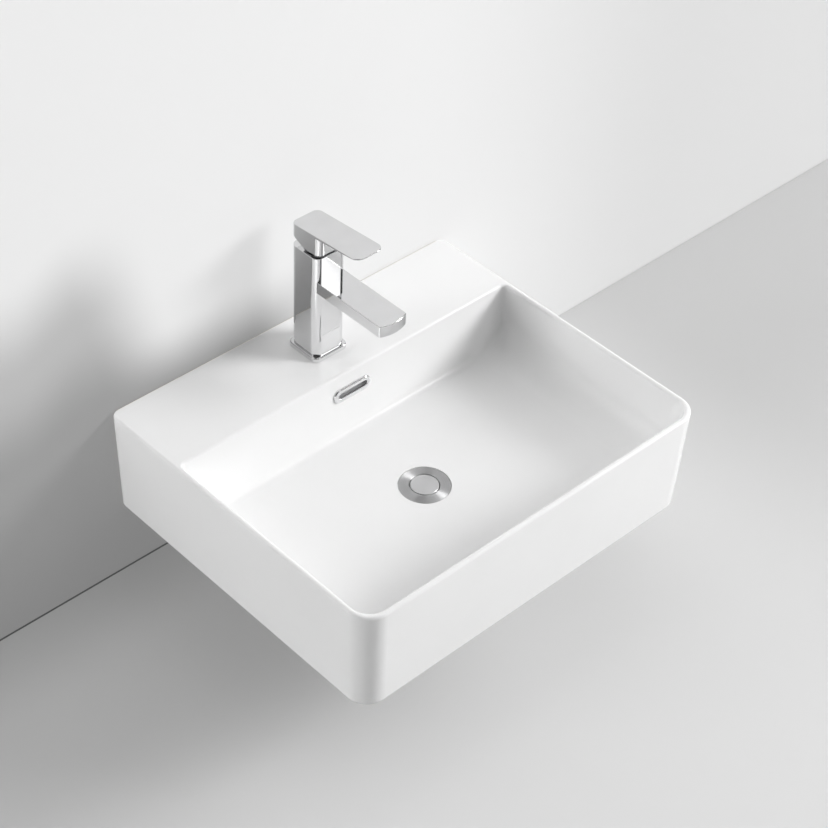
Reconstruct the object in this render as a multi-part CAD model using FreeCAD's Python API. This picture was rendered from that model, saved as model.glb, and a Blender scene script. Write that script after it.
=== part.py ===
import FreeCAD, Part
import math
import os

os.makedirs("parts", exist_ok=True)

# A wall-hung washbasin with its lever mixer, its push waste and its overflow.
# Millimetres, +Z up, -Y towards the person who washes. The origin is midway between
# the two wall holes, on the flat back that meets the wall.

V = FreeCAD.Vector
UP = V(0, 0, 1)
ALONG_X = V(1, 0, 0)
CUT = 5.0                   # how far every cutting tool runs past what it cuts
TOUCH = 0.005               # heights closer than this are the same height

# Ceramic tray, outside
WIDTH = 500.0
DEPTH = 420.0
HEIGHT = 140.0
HOLE_DROP = 65.0            # rim down to the wall holes
SIDE_DRAFT = 4.5            # sides and front lean in by this much at the foot
FRONT_CORNER = 28.0
BACK_CORNER = 12.0
BACK_GROUND = 1.0           # ground off the fired back, so that it lies flat on the wall
RIM_ROUND = 3.0
BOWL_EDGE_ROUND = 3.4       # inner edge of the rim and front edge of the ledge
FOOT_ROUND = 8.0
FOOT_WALL = 11.0
BACK_WALL = 10.0
DECK = 14.0                 # thickness of the tap ledge
WALL_HOLE_R = 6.5
WALL_HOLE_SPACING = 280.0

# Bowl
RIM_WALL = 7.0
LEDGE = 115.0               # wall to the bowl's back edge
BOWL_DEPTH = 84.0           # rim to the edge of the floor
FLOOR_FALL = 4.0            # edge of the floor down to the waste
BACK_LEAN = 7.5             # the back of the bowl leans forward by this much at the floor
BOWL_DRAFT = 3.0
SIDE_BEND = 40.0            # radius where sides and front turn into the floor
BACK_BEND = 10.0
BOWL_CORNER_GROWTH = 13.0   # front corners open out by this much on the way down
BACK_CORNER_RIM = 6.0
BACK_CORNER_FLOOR = 26.0
BEND_STEPS = 6
SHELL = 8.0                 # ceramic under the bowl
DRAIN_FROM_FRONT = 178.3
DRAIN_LAND = 36.0           # half the flat patch round the waste
LAND_ROUND_SHARE = 0.8

# Waste hole and overflow passage
WASTE_HOLE_R = 23.0
BOSS_WALL = 10.0
BOSS_HEIGHT = 40.0
CHANNEL_DEEP = 11.0
CHANNEL_HALF = 26.0
CHANNEL_WALL = 7.0
FLOOR_CHANNEL_HALF = 18.0
OVERFLOW_DROP = 27.0        # rim down to the middle of the slot
SLOT_LENGTH = 48.0
SLOT_HEIGHT = 11.0

# Overflow ring
RING_MARGIN = 3.4           # the ring's plate overlaps the slot by this much
RING_PLATE = 2.6
RING_ROUND = 1.8
RING_MOUTH_ROUND = 0.8
RING_COLLAR = 8.0
RING_WALL = 2.0
RING_PLAY = 0.4

# Waste body
FLANGE_R = 29.9
FLANGE_THICK = 2.2
FLANGE_CROWN = 1.0
FLANGE_PROUD = 0.4
RECESS_PLAY = 0.6
FLANGE_GASKET = 1.0
PLUG_R = 16.4
PLUG_GAP = 1.0
MOUTH_DEEP = 3.8
SEAT_R = 15.2
SEAT_HIGH = 3.2
TAIL_R = 20.95
TAIL_WALL = 2.65
TAIL_LENGTH = 90.0
THREAD_LEAD = 6.0           # plain end below the tail's thread
THREAD_DEPTH = 1.45
WINDOWS = 3
WINDOW_WIDTH = 14.0
WINDOW_HEIGHT = 11.0
BRIDGE_DROP = 25.0          # ledge of the waste down to the bridge
BRIDGE_THICK = 5.0
BRIDGE_ARM = 4.0
BRIDGE_HUB_WALL = 2.4

# Seals and nut under the waste boss
TAIL_PLAY = 0.25
CONE_OUT_R = 30.0
CONE_THICK = 5.0
CONE_NOSE = 3.5
CONE_NOSE_PLAY = 0.4
SLIP_THICK = 1.5
NUT_FLATS = 56.0
NUT_THICK = 9.0
NUT_CORNER_ANGLE = 30.0     # the corners of a nut are turned off at this slope

# Plug and its latch
CAP_THICK = 3.0
CAP_PROUD = 0.3
CAP_ROUND = 1.0
SPIGOT_R = 12.5
SPIGOT_HIGH = 4.6
PLUG_BOSS_R = 5.0
PLUG_BOSS_HIGH = 5.2
SEAL_THICK = 3.4
SEAL_SHORT = 0.9            # the seal stops this far inside the cap's edge
SEAL_PLAY = 0.1
STEM_THREAD_R = 2.5
STEM_R = 2.9
STEM_FOOT_R = 2.3
STEM_COLLAR_R = 4.9
STEM_COLLAR = 1.5
THREAD_DEEP = 7.0
THREAD_PLAY = 0.05
PLUG_TRAVEL = 9.0
LATCH_PLAY = 0.3
BARREL_WALL = 1.2
BARREL_TOP = 2.0
BARREL_FLANGE = 2.2
BARREL_FLOOR = 1.6
PLUG_OVERRUN = 2.0          # room for the push past closed
ROTOR_HIGH = 3.0
ROTOR_TEETH = 6
ROTOR_TOOTH_WIDTH = 1.6
ROTOR_RIM_DEEP = 0.8
SPRING_WIRE_R = 0.4
SPRING_TURNS = 6
SPRING_PITCH = 2.1
SPRING_PLAY = 0.15

# Mixer, outside. Heights are above the ledge.
CLAMP_ROOM = 5.3            # between the overflow passage and the clamp washer
CLAMP_R = 25.0
TAP_HOLE_R = 17.5
PLATE_SIDE = 49.8
PLATE_CORNER = 8.0
PLATE_LIFT = 0.3
PLATE_HIGH = 6.0
PLATE_ROUND = 1.6
PLATE_COLLAR = 3.5
PLATE_BORE_R = 15.4
COLLAR_WALL = 1.7
BODY_SIDE = 44.5
BODY_CORNER = 9.5
SPOUT_SIDE = 39.0
SPOUT_UNDER = 96.0
SPOUT_THICK = 15.0
SPOUT_REACH = 126.3
SPOUT_BOW = 4.5             # the tip's corners stand this far behind its middle
SPOUT_CORNER = 2.5
SPOUT_EDGE = 0.7
SPOUT_SKIN = 1.5
BODY_EDGE = 0.5

# Mixer, inside
FOOT_RECESS = 15.6
FOOT_RECESS_PLAY = 0.3
INLET_R = 4.6
INLET_DEEP = 12.0
INLET_X = 7.5
INLET_Y = -7.0
PORT_R = 3.0
PORT_X = 7.0
PORT_Y = -5.0
OUTLET_R = 3.5
OUTLET_Y = 3.5
NECK_DUCT_HALF = 2.8
NECK_DUCT_END = 14.0
SPOUT_DUCT_HALF = 10.0
SPOUT_DUCT_HIGH = 7.0
STUD_R = 3.9
STUD_PLAY = 0.1
STUD_Y = 11.0
STUD_GRIP = 12.0
STUD_BELOW = 55.0
HORSESHOE_SLOT_R = 14.0
HORSESHOE_SLOT_Y = -10.0
HORSESHOE_GASKET = 3.0
HORSESHOE_WASHER = 2.0
LONG_NUT_FLATS = 13.0
LONG_NUT = 18.0
BASE_SEAL_R = 22.5
BASE_SEAL_WIDE = 3.0
BASE_SEAL_THICK = 1.6
SEAL_GROOVE_PLAY = 0.3

# Cartridge
CARTRIDGE_R = 17.5
BORE_PLAY = 0.3
BASE_SIDE_PLAY = 0.2
CARTRIDGE_BASE = 5.8
PORT_SEAL_WALL = 1.3
PORT_SEAL_HIGH = 2.2
CUP_WALL = 2.3
CUP_ROOF = 2.6
DISC_FIT = 0.3
FIXED_DISC = 4.0
DISC_GLIDE = 0.1
MOVING_DISC_R = 10.0
MOVING_DISC = 3.4
POCKET_HALF = 6.0
POCKET_FRONT = -1.0
POCKET_BACK = 7.5
POCKET_DEEP = 2.0
CARRIER_HIGH = 5.0
TURRET_GAP = 0.3
TURRET_FLANGE = 4.8
TURRET_NECK_R = 9.5
NECK_PLAY = 0.3
PIVOT_ABOVE_ROOF = 1.0      # roof of the cartridge up to the rocking pin
ROCK_ARM = 9.8              # rocking pin down to the ball of the stem
NUT_RING = 6.0
NUT_RING_BORE_R = 11.0
NUT_RING_NOTCHES = 4
NUT_NOTCH_WIDTH = 4.0
NUT_NOTCH_DEEP = 2.0
BODY_LIP = 1.0              # the body stands this far above the ring nut

# Stem
BALL_R = 2.6
BALL_PLAY = 0.35
SHANK_R = 2.0
STEM_HALF_X = 3.6
STEM_HALF_Y = 4.5
STEM_BELOW_PIN = 3.5
STEM_ABOVE_PIN = 27.0
PIN_R = 1.5
PIN_RUNNING = 0.05
STEM_SIDE_PLAY = 0.3
WINDOW_HALF_Y = 8.0

# Dome and lever. Heights here are above the rocking pin.
DOME_R = 18.9
DOME_WALL = 1.4
DOME_MOUTH_R = 13.0
DOME_BASE = 1.5
DOME_SPIGOT_WALL = 1.2
DOME_SPIGOT = 0.8
DOME_SPIGOT_PLAY = 0.2
DOME_RUNNING = 0.7
HUB_GAP = 3.5               # body's top to the hub's underside
HUB_FLAT = 4.5              # the hub's underside is flat this far behind the pin
HUB_RELIEF = 9.2            # and rises this much to its back
LEVER_SIDE = 39.4
LEVER_BACK = 24.4           # pin to the back of the hub
LEVER_BACK_TOP = 32.0
LEVER_RISE_ANGLE = 4.7
LEVER_REACH = 85.2
LEVER_TIP_THICK = 2.6
LEVER_ROOT_THICK = 4.4
LEVER_UNDERCUT = 1.4        # slope that thins the plate's visible edge from below
LEVER_TIP_CORNER = 11.0
LEVER_CORNER = 8.0
LEVER_ROUND = 0.8
SOCKET_PLAY = 0.1
SCREW_UP = 23.8
SCREW_R = 2.5
SCREW_LENGTH = 9.0
SCREW_HEX_R = 1.3
SCREW_HEX_DEEP = 3.0
SCREW_PLAY = 0.1
CAP_R = 3.9
SCREW_CAP = 2.8
SCREW_CAP_SINK = 0.2

# Jet former
AERATOR_R = 11.0
AERATOR_PLAY = 0.3
AERATOR_HIGH = 8.0
AERATOR_WALL = 1.7
AERATOR_LIP = 1.2
AERATOR_LIP_R = 8.2
AERATOR_SUNK = 0.3
AERATOR_SEAL = 1.0
AERATOR_SEAL_WALL = 2.2
AERATOR_FROM_TIP = 18.0
JET_HOLE_R = 1.1
JET_RING_SHARES = (0.0, 0.38, 0.74)
JETS_PER_RING = 6

# Heights and places that follow from the sizes above
RIM_Z = HOLE_DROP
FOOT_Z = RIM_Z - HEIGHT
FLOOR_EDGE_Z = RIM_Z - BOWL_DEPTH
DRAIN_Z = FLOOR_EDGE_Z - FLOOR_FALL
DRAIN_Y = -DEPTH + DRAIN_FROM_FRONT
BOSS_R = WASTE_HOLE_R + BOSS_WALL
PASSAGE_FRONT = -LEDGE + SHELL
PASSAGE_BACK = PASSAGE_FRONT + CHANNEL_DEEP
DUCT_BACK = PASSAGE_BACK + CHANNEL_WALL
CHANNEL_TOP_Z = DRAIN_Z - SHELL
CHANNEL_FLOOR_Z = CHANNEL_TOP_Z - CHANNEL_DEEP
TAP_Y = DUCT_BACK + CLAMP_ROOM + CLAMP_R
SLOT_Z = RIM_Z - OVERFLOW_DROP
LEAN_ANGLE = math.degrees(math.atan(BACK_LEAN / BOWL_DEPTH))

FLANGE_TOP = FLANGE_PROUD
FLANGE_UNDER = FLANGE_TOP - FLANGE_THICK
RECESS_FLOOR = FLANGE_UNDER - FLANGE_GASKET
MOUTH_R = PLUG_R + PLUG_GAP
SEAT_TOP = FLANGE_TOP - MOUTH_DEEP
SEAT_LOW = SEAT_TOP - SEAT_HIGH
TAIL_BORE_R = TAIL_R - TAIL_WALL
LEAD_R = TAIL_R - THREAD_DEPTH
PLUG_TOP = FLANGE_TOP + CAP_PROUD
CAP_UNDER = PLUG_TOP - CAP_THICK
SPIGOT_LOW = CAP_UNDER - SPIGOT_HIGH
PLUG_LOW = SPIGOT_LOW - PLUG_BOSS_HIGH
BARREL_HEAD = PLUG_LOW - PLUG_OVERRUN
COLLAR_TOP = BARREL_HEAD - BARREL_TOP - PLUG_TRAVEL - LATCH_PLAY
COLLAR_LOW = COLLAR_TOP - STEM_COLLAR
ROTOR_LOW = COLLAR_LOW - SPRING_PLAY - ROTOR_HIGH
SPRING_R = STEM_COLLAR_R - SPRING_WIRE_R
SPRING_HIGH = SPRING_TURNS * SPRING_PITCH + SPRING_WIRE_R * 2
SPRING_LOW = ROTOR_LOW - SPRING_PLAY - SPRING_HIGH
BARREL_CELLAR = SPRING_LOW - SPRING_PLAY
BARREL_LOW = BARREL_CELLAR - BARREL_FLOOR
BARREL_BORE_R = STEM_COLLAR_R + LATCH_PLAY
BARREL_R = BARREL_BORE_R + BARREL_WALL
BOSS_LOW = -BOSS_HEIGHT
CONE_LOW = BOSS_LOW - CONE_THICK
SLIP_LOW = CONE_LOW - SLIP_THICK
NUT_LOW = SLIP_LOW - NUT_THICK

PLATE_TOP = PLATE_LIFT + PLATE_HIGH
BODY_HALF = BODY_SIDE / 2
SPOUT_HALF = SPOUT_SIDE / 2
LEVER_HALF = LEVER_SIDE / 2
RECESS_TOP = PLATE_TOP + FOOT_RECESS
SPOUT_TOP = SPOUT_UNDER + SPOUT_THICK
SEAT = SPOUT_TOP - SPOUT_SKIN
BORE_R = CARTRIDGE_R + BORE_PLAY
DUCT_LOW = SPOUT_UNDER + (SPOUT_THICK - SPOUT_DUCT_HIGH) / 2
BASE_LOW = SEAT + BASE_SIDE_PLAY
BASE_TOP = SEAT + CARTRIDGE_BASE
FIXED_TOP = BASE_TOP + FIXED_DISC
MOVING_LOW = FIXED_TOP + DISC_GLIDE
MOVING_TOP = MOVING_LOW + MOVING_DISC
CARRIER_TOP = MOVING_TOP + CARRIER_HIGH
TURRET_LOW = CARRIER_TOP + TURRET_GAP
FLANGE_TOP_Z = TURRET_LOW + TURRET_FLANGE
CUP_CEILING = FLANGE_TOP_Z + TURRET_GAP
CUP_TOP = CUP_CEILING + CUP_ROOF
PIVOT = CUP_TOP + PIVOT_ABOVE_ROOF
RING_TOP = CUP_TOP + NUT_RING
BODY_TOP = RING_TOP + BODY_LIP
CUP_BORE_R = CARTRIDGE_R - CUP_WALL
AERATOR_Y = -SPOUT_REACH + AERATOR_FROM_TIP
GASKET_LOW = -DECK - HORSESHOE_GASKET
WASHER_LOW = GASKET_LOW - HORSESHOE_WASHER


# Shapes that several pieces share

def block(half_x, y0, y1, z0, z1):
    """A box that is centred on x = 0."""
    return Part.makeBox(2 * half_x, y1 - y0, z1 - z0, V(-half_x, y0, z0))


def rod(radius, z0, z1, x=0, y=0):
    """An upright cylinder."""
    return Part.makeCylinder(radius, z1 - z0, V(x, y, z0))


def ring(outer, inner, z0, z1, x=0, y=0):
    """An upright tube."""
    return rod(outer, z0, z1, x, y).cut(rod(inner, z0 - CUT, z1 + CUT, x, y))


def outline(half, front, back, front_r, back_r, z):
    """A rounded rectangle: straight runs joined by quarter arcs, front at low y."""
    corners = [(1, front + front_r, front_r), (1, back - back_r, back_r),
               (-1, back - back_r, back_r), (-1, front + front_r, front_r)]
    arcs = []
    for turn, (side, y, radius) in enumerate(corners):
        centre = V(side * (half - radius), y, z)
        spots = []
        for eighth in range(3):
            angle = math.pi / 2 * (turn - 1) + math.pi / 4 * eighth
            spots.append(centre + V(math.cos(angle), math.sin(angle), 0) * radius)
        arcs.append(spots)
    edges = []
    for turn, spots in enumerate(arcs):
        edges.append(Part.Arc(*spots).toShape())
        edges.append(Part.LineSegment(spots[2], arcs[(turn + 1) % 4][0]).toShape())
    return Part.Wire(edges)


def slab(half, front, back, front_r, back_r, z0, z1):
    """A rounded rectangle raised from z0 to z1."""
    face = Part.Face(outline(half, front, back, front_r, back_r, z0))
    return face.extrude(V(0, 0, z1 - z0))


def turned(path):
    """Turn a closed path about the upright axis.

    A step of two numbers runs straight to (radius, height). A step of four is an arc
    through its first pair to its second.
    """
    here = V(path[0][0], 0, path[0][1])
    start = here
    edges = []
    for step in path[1:]:
        there = V(step[-2], 0, step[-1])
        if len(step) == 4:
            edges.append(Part.Arc(here, V(step[0], 0, step[1]), there).toShape())
        else:
            edges.append(Part.LineSegment(here, there).toShape())
        here = there
    edges.append(Part.LineSegment(here, start).toShape())
    return Part.Face(Part.Wire(edges)).revolve(V(0, 0, 0), UP, 360)


def hexagon(flats, z0, z1):
    """A six-sided prism whose corners are turned off at both ends."""
    reach = flats / math.sqrt(3)
    points = []
    for corner in range(7):
        angle = math.pi / 3 * corner
        points.append(V(reach * math.cos(angle), reach * math.sin(angle), z0))
    prism = Part.Face(Part.makePolygon(points)).extrude(V(0, 0, z1 - z0))
    drop = (reach - flats / 2) * math.tan(math.radians(NUT_CORNER_ANGLE))
    return prism.common(turned([(0, z0), (flats / 2, z0), (reach, z0 + drop),
                                (reach, z1 - drop), (flats / 2, z1), (0, z1)]))


def oblong(length, height, y0, y1):
    """A bar along y with a flat-sided, round-ended section."""
    radius = height / 2
    half = length / 2 - radius
    path = [Part.LineSegment(V(-half, y0, -radius), V(half, y0, -radius)).toShape(),
            Part.Arc(V(half, y0, -radius), V(half + radius, y0, 0),
                     V(half, y0, radius)).toShape(),
            Part.LineSegment(V(half, y0, radius), V(-half, y0, radius)).toShape(),
            Part.Arc(V(-half, y0, radius), V(-half - radius, y0, 0),
                     V(-half, y0, -radius)).toShape()]
    return Part.Face(Part.Wire(path)).extrude(V(0, y1 - y0, 0))


def side_profile(points, half_x):
    """A closed outline of (y, z) points drawn out along x, centred."""
    corners = [V(-half_x, y, z) for y, z in points]
    face = Part.Face(Part.makePolygon(corners + corners[:1]))
    return face.extrude(V(2 * half_x, 0, 0))


def edges_at(shape, z):
    """The edges that lie flat at one height."""
    found = []
    for edge in shape.Edges:
        box = edge.BoundBox
        if abs(box.ZMin - z) + abs(box.ZMax - z) < TOUCH:
            found.append(edge)
    return found


def save(name, shape):
    shape.exportStep("parts/" + name + ".step")


def save_waste(name, shape):
    """Save a piece that is modelled about the waste's axis, level with the bowl's floor."""
    save(name, shape.translated(V(0, DRAIN_Y, DRAIN_Z)))


def save_tap(name, shape):
    """Save a piece that is modelled about the tap's axis, level with the ledge."""
    save(name, shape.translated(V(0, TAP_Y, RIM_Z)))


# Ceramic tray

def bowl_section(z, bend_share, side_run, back_run, grow):
    """The bowl's plan at one height, opened out by grow on every side."""
    down = (RIM_Z - z) / BOWL_DEPTH
    side_in = BOWL_DRAFT * down + side_run
    back_in = BACK_LEAN * down + back_run
    bend_drop = (BOWL_DEPTH - SIDE_BEND) / BOWL_DEPTH
    opened = min(max(down / bend_drop, 0), 1)
    front_r = FRONT_CORNER - RIM_WALL + BOWL_CORNER_GROWTH * opened
    back_r = BACK_CORNER_RIM + (BACK_CORNER_FLOOR - BACK_CORNER_RIM) * bend_share
    return outline(WIDTH / 2 - RIM_WALL - side_in + grow, -DEPTH + RIM_WALL + side_in - grow,
                   -LEDGE - back_in + grow, front_r + grow, back_r + grow, z)


def bowl_form(grow):
    """The hollow of the bowl, or with grow the outside of the wall round it."""
    floor = FLOOR_EDGE_Z - grow
    side_r = SIDE_BEND + grow
    back_r = BACK_BEND + grow
    sections = []
    for step in range(BEND_STEPS + 1):
        angle = math.pi / 2 * step / BEND_STEPS
        z = floor + side_r * (1 - math.sin(angle))
        back_run = 0
        if z < floor + back_r:
            sine = 1 - (z - floor) / back_r
            back_run = back_r * (1 - math.sqrt(1 - min(sine, 1) ** 2))
        side_run = side_r * (1 - math.cos(angle))
        sections.append(bowl_section(z, 1 - math.cos(angle), side_run, back_run, grow))
    top = bowl_section(RIM_Z + CUT, 0, 0, 0, grow)
    walls = Part.makeLoft([top, sections[0]], True, True)
    bends = Part.makeLoft(sections, True, False)
    land_r = DRAIN_LAND * LAND_ROUND_SHARE
    land = outline(DRAIN_LAND, DRAIN_Y - DRAIN_LAND, DRAIN_Y + DRAIN_LAND, land_r, land_r,
                   DRAIN_Z - grow)
    floor_dish = Part.makeLoft([sections[-1], land], True, True)
    return walls.fuse([bends, floor_dish])


def tray_block():
    """The outside of the tray, with its rim and foot rounded."""
    half = WIDTH / 2
    low = outline(half - SIDE_DRAFT, -DEPTH + SIDE_DRAFT, BACK_GROUND, FRONT_CORNER, BACK_CORNER,
                  FOOT_Z)
    top = outline(half, -DEPTH, BACK_GROUND, FRONT_CORNER, BACK_CORNER, RIM_Z)
    tray = Part.makeLoft([low, top], True, True)
    tray = tray.makeFillet(FOOT_ROUND, edges_at(tray, FOOT_Z))
    tray = tray.makeFillet(RIM_ROUND, edges_at(tray, RIM_Z))
    return tray.cut(block(half + CUT, 0, BACK_GROUND + CUT, FOOT_Z - CUT, RIM_Z + CUT))


def overflow_duct():
    """The ceramic round the overflow passage: down behind the bowl, then forward."""
    half = CHANNEL_HALF + CHANNEL_WALL
    low = CHANNEL_FLOOR_Z - CHANNEL_WALL
    upright = block(half, PASSAGE_FRONT - BACK_LEAN, DUCT_BACK, low, RIM_Z)
    floor_half = FLOOR_CHANNEL_HALF + CHANNEL_WALL
    return upright.fuse(block(floor_half, DRAIN_Y, DUCT_BACK, low, FLOOR_EDGE_Z))


def underside():
    """The open space under the bowl and behind it, less what the ceramic keeps there."""
    half = WIDTH / 2 - FOOT_WALL
    corner = FRONT_CORNER - FOOT_WALL
    low = outline(half - SIDE_DRAFT, -DEPTH + SIDE_DRAFT + FOOT_WALL, -BACK_WALL, corner, corner,
                  FOOT_Z - CUT)
    top = outline(half, -DEPTH + FOOT_WALL, -BACK_WALL, corner, corner, RIM_Z - DECK)
    space = Part.makeLoft([low, top], True, True)
    boss = rod(BOSS_R, DRAIN_Z - BOSS_HEIGHT, FLOOR_EDGE_Z, 0, DRAIN_Y)
    return space.cut([bowl_form(SHELL), overflow_duct(), boss])


def overflow_passage():
    """The water's way from the slot down and forward into the waste hole."""
    upright = block(CHANNEL_HALF, PASSAGE_FRONT, PASSAGE_BACK, CHANNEL_FLOOR_Z,
                    SLOT_Z + SLOT_HEIGHT / 2)
    forward = block(FLOOR_CHANNEL_HALF, DRAIN_Y, PASSAGE_BACK, CHANNEL_FLOOR_Z, CHANNEL_TOP_Z)
    return upright.fuse(forward)


def on_bowl_back(shape):
    """Turn a piece that faces -y onto the leaning back wall of the bowl, at the slot."""
    leaning = shape.copy()
    leaning.rotate(V(0, 0, 0), ALONG_X, -LEAN_ANGLE)
    wall_y = -LEDGE - BACK_LEAN * OVERFLOW_DROP / BOWL_DEPTH
    return leaning.translated(V(0, wall_y, SLOT_Z))


def inside_rim(edge):
    """True for an edge of the bowl's mouth, and not for the outer edge of the rim."""
    box = edge.BoundBox
    reach = WIDTH / 2 - RIM_WALL + TOUCH
    return box.XMax < reach and box.XMin > -reach and box.YMax < -LEDGE + TOUCH


def basin_body():
    tray = tray_block().cut(bowl_form(0))
    mouth = [edge for edge in edges_at(tray, RIM_Z) if inside_rim(edge)]
    tray = tray.makeFillet(min(BOWL_EDGE_ROUND, RIM_WALL - RIM_ROUND - TOUCH), mouth)
    tray = tray.cut([underside(), overflow_passage()])
    waste_hole = rod(WASTE_HOLE_R, DRAIN_Z - BOSS_HEIGHT - CUT, DRAIN_Z + CUT, 0, DRAIN_Y)
    recess = rod(FLANGE_R + RECESS_PLAY, DRAIN_Z + RECESS_FLOOR, DRAIN_Z + CUT, 0, DRAIN_Y)
    tap_hole = rod(TAP_HOLE_R, RIM_Z - DECK - CUT, RIM_Z + CUT, 0, TAP_Y)
    slot = on_bowl_back(oblong(SLOT_LENGTH, SLOT_HEIGHT, -CUT, SHELL + CHANNEL_DEEP / 2))
    cuts = [waste_hole, recess, tap_hole, slot]
    for side in (-1, 1):
        start = V(side * WALL_HOLE_SPACING / 2, -BACK_WALL - CUT, 0)
        cuts.append(Part.makeCylinder(WALL_HOLE_R, BACK_WALL + 2 * CUT, start, V(0, 1, 0)))
    return tray.cut(cuts)


def overflow_ring():
    """Plate, collar and slot of the trim ring, made flat and then leaned back."""
    plate_length = SLOT_LENGTH + 2 * RING_MARGIN
    plate = oblong(plate_length, SLOT_HEIGHT + 2 * RING_MARGIN, -RING_PLATE, 0)
    lip = [edge for edge in plate.Edges if abs(edge.BoundBox.YMax + RING_PLATE) < TOUCH]
    plate = plate.makeFillet(min(RING_ROUND, RING_PLATE - TOUCH), lip)
    collar = oblong(SLOT_LENGTH - 2 * RING_PLAY, SLOT_HEIGHT - 2 * RING_PLAY, -RING_PLATE / 2,
                    RING_COLLAR)
    mouth = oblong(SLOT_LENGTH - 2 * (RING_PLAY + RING_WALL),
                   SLOT_HEIGHT - 2 * (RING_PLAY + RING_WALL), -CUT, RING_COLLAR + CUT)
    trim = plate.fuse(collar).cut(mouth)
    mouth_edges = []
    for edge in trim.Edges:
        box = edge.BoundBox
        inside = box.ZLength < SLOT_HEIGHT and box.ZMax < SLOT_HEIGHT / 2
        if inside and abs(box.YMax + RING_PLATE) + abs(box.YMin + RING_PLATE) < TOUCH:
            mouth_edges.append(edge)
    return on_bowl_back(trim.makeFillet(RING_MOUTH_ROUND, mouth_edges))


# Waste. Heights are about the flat of the bowl's floor.

def waste_body():
    crown_r = (MOUTH_R + FLANGE_R) / 2
    shell = turned([(MOUTH_R, FLANGE_TOP),
                    (crown_r, FLANGE_TOP - FLANGE_CROWN / 4, FLANGE_R, FLANGE_TOP - FLANGE_CROWN),
                    (FLANGE_R, FLANGE_UNDER), (TAIL_R, FLANGE_UNDER),
                    (TAIL_R, THREAD_LEAD - TAIL_LENGTH), (LEAD_R, THREAD_LEAD - TAIL_LENGTH),
                    (LEAD_R, -TAIL_LENGTH), (TAIL_BORE_R, -TAIL_LENGTH),
                    (TAIL_BORE_R, SEAT_LOW - SEAT_HIGH),
                    (SEAT_R, SEAT_LOW), (MOUTH_R, SEAT_TOP)])
    window_top = SEAT_LOW - SEAT_HIGH
    arms = []
    for turn in range(WINDOWS):
        angle = 360 * turn / WINDOWS
        window = block(WINDOW_WIDTH / 2, 0, TAIL_R + CUT, window_top - WINDOW_HEIGHT, window_top)
        window.rotate(V(0, 0, 0), UP, angle)
        shell = shell.cut(window)
        arm = block(BRIDGE_ARM / 2, 0, TAIL_BORE_R + TAIL_WALL / 2, -BRIDGE_DROP - BRIDGE_THICK,
                    -BRIDGE_DROP)
        arm.rotate(V(0, 0, 0), UP, angle + 180 / WINDOWS)
        arms.append(arm)
    hub = rod(BARREL_R + BRIDGE_HUB_WALL, -BRIDGE_DROP - BRIDGE_THICK, -BRIDGE_DROP)
    bore = rod(BARREL_R + THREAD_PLAY, -BRIDGE_DROP - BRIDGE_THICK - CUT, -BRIDGE_DROP + CUT)
    return shell.fuse(arms + [hub]).cut(bore)


def flange_gasket():
    return ring(FLANGE_R - FLANGE_CROWN, TAIL_R + TAIL_PLAY, RECESS_FLOOR, FLANGE_UNDER)


def cone_gasket():
    """A flat ring with a tapered nose that wedges into the hole."""
    inner = TAIL_R + TAIL_PLAY
    nose_r = WASTE_HOLE_R - CONE_NOSE_PLAY
    return turned([(inner, CONE_LOW), (CONE_OUT_R, CONE_LOW), (CONE_OUT_R, BOSS_LOW),
                   (nose_r, BOSS_LOW), ((inner + nose_r) / 2, BOSS_LOW + CONE_NOSE),
                   (inner, BOSS_LOW + CONE_NOSE)])


def slip_washer():
    return ring(CONE_OUT_R, TAIL_R + TAIL_PLAY, SLIP_LOW, CONE_LOW)


def waste_nut():
    nut = hexagon(NUT_FLATS, NUT_LOW, SLIP_LOW)
    return nut.cut(rod(TAIL_R + THREAD_PLAY, NUT_LOW - CUT, SLIP_LOW + CUT))


def waste_plug():
    """The cap with its spigot and threaded boss."""
    round_mid = CAP_ROUND * (1 - math.sqrt(2) / 2)
    plug = turned([(0, PLUG_TOP), (PLUG_R - CAP_ROUND, PLUG_TOP),
                   (PLUG_R - round_mid, PLUG_TOP - round_mid, PLUG_R, PLUG_TOP - CAP_ROUND),
                   (PLUG_R, CAP_UNDER), (SPIGOT_R, CAP_UNDER), (SPIGOT_R, SPIGOT_LOW),
                   (PLUG_BOSS_R, SPIGOT_LOW), (PLUG_BOSS_R, PLUG_LOW), (0, PLUG_LOW)])
    return plug.cut(rod(STEM_THREAD_R + THREAD_PLAY, PLUG_LOW - CUT, PLUG_LOW + THREAD_DEEP))


def plug_seal():
    """A rubber ring whose lower edge is cut back along the slope of the seat."""
    inner = SPIGOT_R + SEAL_PLAY
    low = CAP_UNDER - SEAL_THICK
    slope = (MOUTH_R - SEAT_R) / SEAT_HIGH
    wide = PLUG_R - SEAL_SHORT
    edge_z = CAP_UNDER - SEAL_THICK / 3
    return turned([(inner, CAP_UNDER), (wide, CAP_UNDER), (wide, edge_z),
                   (wide - slope * (edge_z - low), low), (inner, low)])


def click_stem():
    """The rod of the plug: thread, rod, collar and foot."""
    foot = BARREL_CELLAR + PLUG_OVERRUN + SPRING_PLAY
    return turned([(0, PLUG_LOW + THREAD_DEEP), (STEM_THREAD_R, PLUG_LOW + THREAD_DEEP),
                   (STEM_THREAD_R, PLUG_LOW), (STEM_R, PLUG_LOW), (STEM_R, COLLAR_TOP),
                   (STEM_COLLAR_R, COLLAR_TOP), (STEM_COLLAR_R, COLLAR_LOW),
                   (STEM_FOOT_R, COLLAR_LOW), (STEM_FOOT_R, foot), (0, foot)])


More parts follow.
